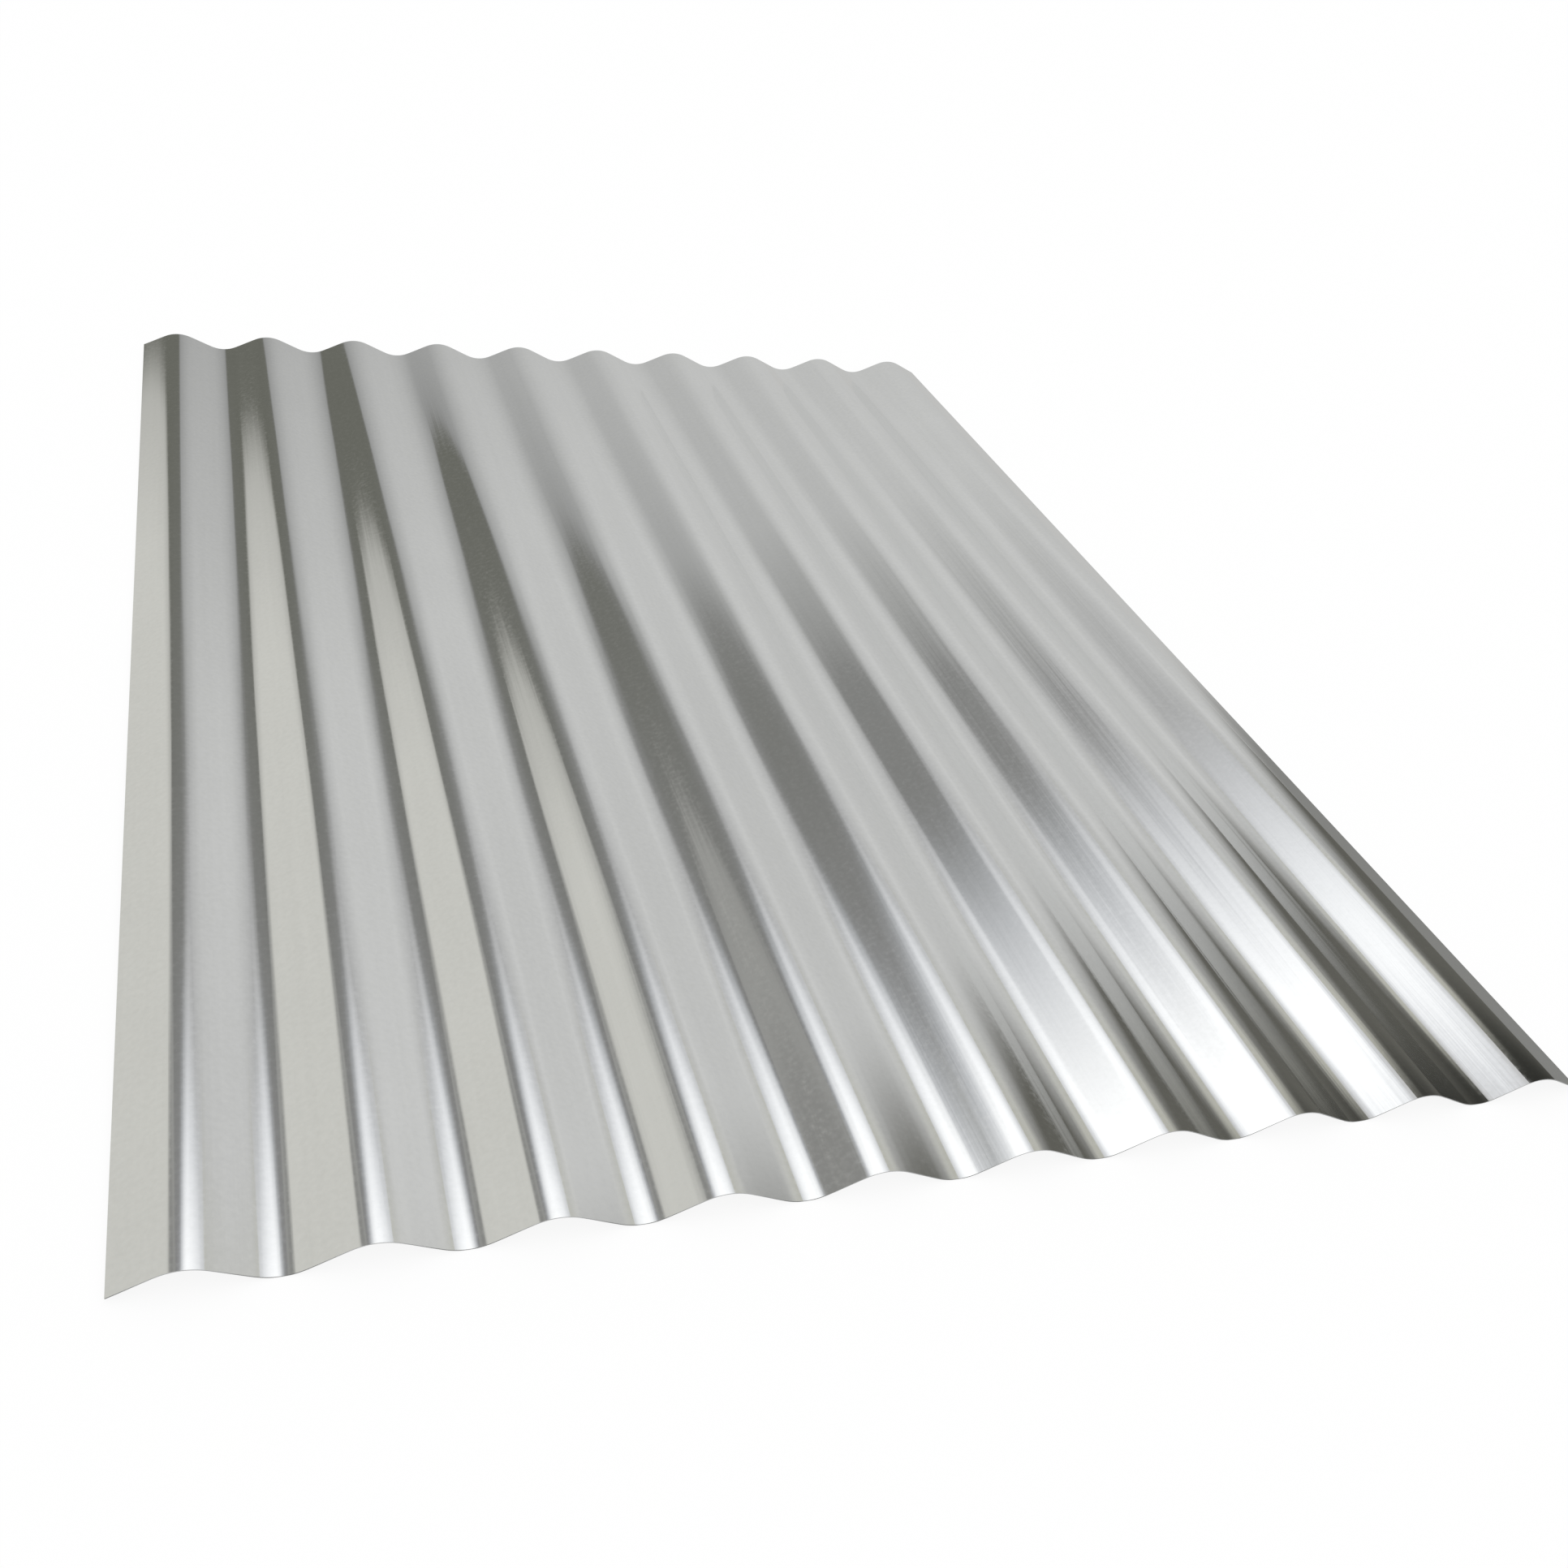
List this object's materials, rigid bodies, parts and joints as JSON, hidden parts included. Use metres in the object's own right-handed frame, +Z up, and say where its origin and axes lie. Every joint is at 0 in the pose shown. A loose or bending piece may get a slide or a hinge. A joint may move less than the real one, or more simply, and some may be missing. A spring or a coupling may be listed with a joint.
{
  "type": "corrugated metal sheet",
  "caption": "Rectangular zinc-coated steel sheet rolled into even round waves along its length, for roofing, siding and fences.",
  "frame": {"origin": "on the floor, under the middle of the sheet", "axes": "+X across the waves, +Y along the waves, +Z up from the floor the sheet lies on"},
  "size_m": [0.6606, 0.9144, 0.0115],
  "materials": {
    "zinc_coated_steel": "bright zinc coat with a fine grain"
  },
  "bodies": {
    "root": {"corrugated_sheet": "zinc_coated_steel"}
  },
  "joints": []
}
